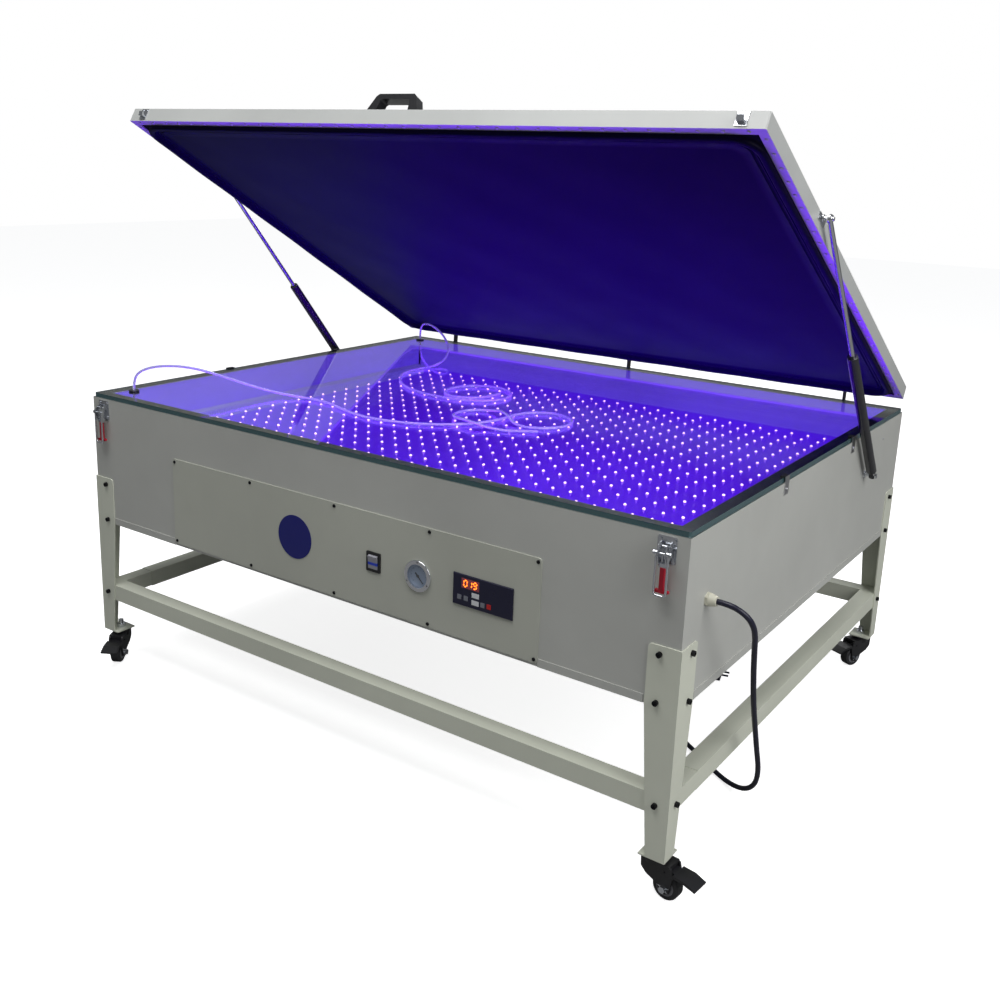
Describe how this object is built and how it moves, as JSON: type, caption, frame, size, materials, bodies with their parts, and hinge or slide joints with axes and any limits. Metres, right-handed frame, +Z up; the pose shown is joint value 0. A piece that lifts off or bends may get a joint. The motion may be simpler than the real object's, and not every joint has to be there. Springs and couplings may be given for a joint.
{
  "type": "screen printing exposure unit",
  "caption": "Free-standing vacuum exposure unit: lamp box with glass top, hinged blanket lid on gas struts, control panel, leg frame on casters.",
  "frame": {"origin": "on the floor under the middle of the cabinet", "axes": "+X to the right seen from the control panel, +Y to the rear hinge side, +Z up"},
  "size_m": [1.6311, 1.3104, 1.3318],
  "materials": {
    "black_metal": "matte black",
    "black_plastic": "satin",
    "black_rubber": "matte",
    "black_screws": "black oxide",
    "black_steel": "black coat",
    "blanket_rubber": "smooth black",
    "cast_housing": "painted casting",
    "chromed_steel": "polished",
    "clamp_steel": "satin grey",
    "clear_hose": "clear flexible tube",
    "clip_steel": "brushed, with black pads",
    "coated_sheet": "satin grey powder coat",
    "cord_jacket": "satin black",
    "cream_nylon": "cream nylon",
    "dark_plastic": "dark blue-black front",
    "dark_tube": "gloss black",
    "duct_plastic": "matte grey",
    "float_glass": "clear float glass with ground edges",
    "gauge_glass": "clear lens",
    "grey_plastic": "satin grey",
    "lamp_lens": "clear lens",
    "lid_sheet": "satin light grey powder coat",
    "panel_sheet": "satin grey powder coat with a plain blue badge",
    "plated_steel": "bright zinc plate",
    "plug_rubber": "matte black",
    "red_grip": "red dipped grip on a plated lever",
    "ribbed_case": "ribbed",
    "wheel_tyre": "black tyre on a grey hub",
    "white_board": "white solder mask"
  },
  "bodies": {
    "cabinet": {"cabinet_walls": "coated_sheet", "bottom_tray": "coated_sheet", "control_panel": "panel_sheet", "glass_plate": "float_glass", "glass_clips": "clip_steel", "led_board": "white_board", "led_lamps": "lamp_lens", "wiring_duct": "duct_plastic", "vacuum_pump": "cast_housing", "power_supply": "ribbed_case", "glass_grommets": "black_rubber", "hose_front": "clear_hose", "hose_rear": "clear_hose", "switch_housing": "black_plastic", "vacuum_gauge": "chromed_steel", "gauge_lens": "gauge_glass", "timer_unit": "dark_plastic", "leg_front_left": "coated_sheet", "leg_front_right": "coated_sheet", "leg_rear_left": "coated_sheet", "leg_rear_right": "coated_sheet", "rail_front": "coated_sheet", "rail_rear": "coated_sheet", "rail_left": "coated_sheet", "rail_right": "coated_sheet", "fasteners": "black_screws", "strut_studs": "plated_steel", "hinge_brackets": "black_steel", "latch_bases": "plated_steel", "cord_gland": "cream_nylon", "power_cord": "cord_jacket", "cord_coil": "cord_jacket", "plug": "plug_rubber"},
    "lid": {"lid_frame": "lid_sheet", "clamp_strips": "clamp_steel", "blanket": "blanket_rubber", "lid_handle": "black_plastic", "lid_brackets": "plated_steel"},
    "rocker": {"switch_rocker": "grey_plastic"},
    "needle": {"gauge_needle": "black_metal"},
    "strut_cylinder_left": {"strut_cylinder_left": "dark_tube"},
    "strut_rod_left": {"strut_rod_left": "chromed_steel"},
    "strut_cylinder_right": {"strut_cylinder_right": "dark_tube"},
    "strut_rod_right": {"strut_rod_right": "chromed_steel"},
    "latch_lever_left": {"latch_lever_left": "red_grip"},
    "latch_bail_left": {"latch_bail_left": "plated_steel"},
    "latch_lever_right": {"latch_lever_right": "red_grip"},
    "latch_bail_right": {"latch_bail_right": "plated_steel"},
    "caster_fork_front_left": {"caster_fork_front_left": "black_steel"},
    "caster_wheel_front_left": {"caster_wheel_front_left": "wheel_tyre"},
    "caster_brake_front_left": {"caster_brake_front_left": "black_plastic"},
    "caster_fork_front_right": {"caster_fork_front_right": "black_steel"},
    "caster_wheel_front_right": {"caster_wheel_front_right": "wheel_tyre"},
    "caster_brake_front_right": {"caster_brake_front_right": "black_plastic"},
    "caster_fork_rear_left": {"caster_fork_rear_left": "black_steel"},
    "caster_wheel_rear_left": {"caster_wheel_rear_left": "wheel_tyre"},
    "caster_brake_rear_left": {"caster_brake_rear_left": "black_plastic"},
    "caster_fork_rear_right": {"caster_fork_rear_right": "black_steel"},
    "caster_wheel_rear_right": {"caster_wheel_rear_right": "wheel_tyre"},
    "caster_brake_rear_right": {"caster_brake_rear_right": "black_plastic"}
  },
  "joints": [
    {"name": "lid_hinge", "type": "hinge", "parent": "cabinet", "child": "lid", "pos_m": [0, 0.614, 0.72], "axis": [1, 0, 0], "range_deg": [0, 29.3], "stiffness_Nm_per_rad": 110, "springref_deg": -171.89, "deforming": ["hose_front", "hose_rear"]},
    {"name": "strut_pivot_left", "type": "hinge", "parent": "cabinet", "child": "strut_cylinder_left", "pos_m": [-0.768, 0.33, 0.559], "axis": [1, 0, 0], "range_deg": [0, 36]},
    {"name": "strut_slide_left", "type": "slide", "parent": "strut_cylinder_left", "child": "strut_rod_left", "axis": [0, -0.6495, 0.7604], "range_m": [-0.1449, 0]},
    {"name": "strut_pivot_right", "type": "hinge", "parent": "cabinet", "child": "strut_cylinder_right", "pos_m": [0.768, 0.33, 0.559], "axis": [1, 0, 0], "range_deg": [0, 36]},
    {"name": "strut_slide_right", "type": "slide", "parent": "strut_cylinder_right", "child": "strut_rod_right", "axis": [0, -0.6495, 0.7604], "range_m": [-0.1449, 0]},
    {"name": "latch_lever_pivot_left", "type": "hinge", "parent": "cabinet", "child": "latch_lever_left", "pos_m": [-0.711, -0.609, 0.637], "axis": [-1, 0, 0], "range_deg": [0, 90]},
    {"name": "latch_bail_pivot_left", "type": "hinge", "parent": "latch_lever_left", "child": "latch_bail_left", "pos_m": [-0.711, -0.617, 0.627], "axis": [-1, 0, 0], "range_deg": [0, 85]},
    {"name": "latch_lever_pivot_right", "type": "hinge", "parent": "cabinet", "child": "latch_lever_right", "pos_m": [0.711, -0.609, 0.637], "axis": [-1, 0, 0], "range_deg": [0, 90]},
    {"name": "latch_bail_pivot_right", "type": "hinge", "parent": "latch_lever_right", "child": "latch_bail_right", "pos_m": [0.711, -0.617, 0.627], "axis": [-1, 0, 0], "range_deg": [0, 85]},
    {"name": "caster_swivel_front_left", "type": "hinge", "parent": "cabinet", "child": "caster_fork_front_left", "pos_m": [-0.725, -0.575, 0.07], "axis": [0, 0, 1], "continuous": true},
    {"name": "caster_roll_front_left", "type": "hinge", "parent": "caster_fork_front_left", "child": "caster_wheel_front_left", "pos_m": [-0.71069, -0.5979, 0.025], "axis": [0.848, 0.5299, 0], "continuous": true},
    {"name": "caster_brake_pivot_front_left", "type": "hinge", "parent": "caster_fork_front_left", "child": "caster_brake_front_left", "pos_m": [-0.71122, -0.59705, 0.056], "axis": [0.848, 0.5299, 0], "range_deg": [0, 10]},
    {"name": "caster_swivel_front_right", "type": "hinge", "parent": "cabinet", "child": "caster_fork_front_right", "pos_m": [0.725, -0.575, 0.07], "axis": [0, 0, 1], "continuous": true},
    {"name": "caster_roll_front_right", "type": "hinge", "parent": "caster_fork_front_right", "child": "caster_wheel_front_right", "pos_m": [0.7519, -0.57735, 0.025], "axis": [0.0872, 0.9962, 0], "continuous": true},
    {"name": "caster_brake_pivot_front_right", "type": "hinge", "parent": "caster_fork_front_right", "child": "caster_brake_front_right", "pos_m": [0.7509, -0.57727, 0.056], "axis": [0.0872, 0.9962, 0], "range_deg": [0, 10]},
    {"name": "caster_swivel_rear_left", "type": "hinge", "parent": "cabinet", "child": "caster_fork_rear_left", "pos_m": [-0.725, 0.575, 0.07], "axis": [0, 0, 1], "continuous": true},
    {"name": "caster_roll_rear_left", "type": "hinge", "parent": "caster_fork_rear_left", "child": "caster_wheel_rear_left", "pos_m": [-0.74409, 0.59409, 0.025], "axis": [-0.7071, -0.7071, 0], "continuous": true},
    {"name": "caster_brake_pivot_rear_left", "type": "hinge", "parent": "caster_fork_rear_left", "child": "caster_brake_rear_left", "pos_m": [-0.74338, 0.59339, 0.056], "axis": [-0.7071, -0.7071, 0], "range_deg": [0, 10]},
    {"name": "caster_swivel_rear_right", "type": "hinge", "parent": "cabinet", "child": "caster_fork_rear_right", "pos_m": [0.725, 0.575, 0.07], "axis": [0, 0, 1], "continuous": true},
    {"name": "caster_roll_rear_right", "type": "hinge", "parent": "caster_fork_rear_right", "child": "caster_wheel_rear_right", "pos_m": [0.71359, 0.55053, 0.025], "axis": [0.9063, -0.4226, 0], "continuous": true},
    {"name": "caster_brake_pivot_rear_right", "type": "hinge", "parent": "caster_fork_rear_right", "child": "caster_brake_rear_right", "pos_m": [0.71401, 0.55144, 0.056], "axis": [0.9063, -0.4226, 0], "range_deg": [0, 10]},
    {"name": "rocker_pivot", "type": "hinge", "parent": "cabinet", "child": "rocker", "pos_m": [0.1065, -0.6005, 0.46], "axis": [1, 0, 0], "range_deg": [-18, 0]},
    {"name": "needle_pivot", "type": "hinge", "parent": "cabinet", "child": "needle", "pos_m": [0.215, -0.603, 0.459], "axis": [0, -1, 0], "range_deg": [0, 270], "stiffness_Nm_per_rad": 0.0005}
  ],
  "couplings": [
    {"joint": "strut_pivot_left", "follows": "lid_hinge", "ratio": 1.2283},
    {"joint": "strut_slide_left", "follows": "lid_hinge", "m_per_rad": -0.28305},
    {"joint": "strut_pivot_right", "follows": "lid_hinge", "ratio": 1.2283},
    {"joint": "strut_slide_right", "follows": "lid_hinge", "m_per_rad": -0.28305}
  ]
}
